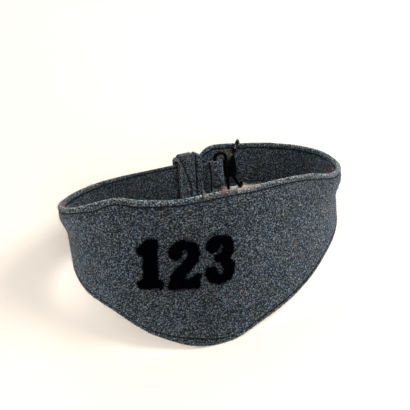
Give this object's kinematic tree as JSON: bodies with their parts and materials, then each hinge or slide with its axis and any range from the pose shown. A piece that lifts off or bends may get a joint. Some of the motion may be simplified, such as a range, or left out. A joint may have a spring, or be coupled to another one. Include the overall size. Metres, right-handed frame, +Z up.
{
  "type": "cloth armband with wire cinch buckle",
  "caption": "Thick wool armband, tongue-shaped at the front and narrow at the back, closed by a black wire cinch buckle and a cloth keeper loop.",
  "frame": {"origin": "centre of the bounding box, on the surface that the armband rests on", "axes": "+Z up; -Y towards the tongue-shaped front; +X to the right seen from the front; the loop tips back, high at the front"},
  "size_m": [0.1684, 0.1412, 0.0758],
  "materials": {
    "wool_cloth": "thick milled wool, blue-grey heather, matt and slightly hairy",
    "black_felt": "deep black raised felt with rough, fuzzy edges",
    "japanned_steel": "black baked enamel, half gloss, a little worn to rust brown"
  },
  "bodies": {
    "root": {"band": "wool_cloth", "keeper_loop": "wool_cloth", "numeral_1": "black_felt", "numeral_2": "black_felt", "numeral_3": "black_felt", "buckle_tab": "wool_cloth", "buckle_loop": "japanned_steel", "buckle_plate": "japanned_steel", "buckle_frame": "japanned_steel"}
  },
  "joints": []
}
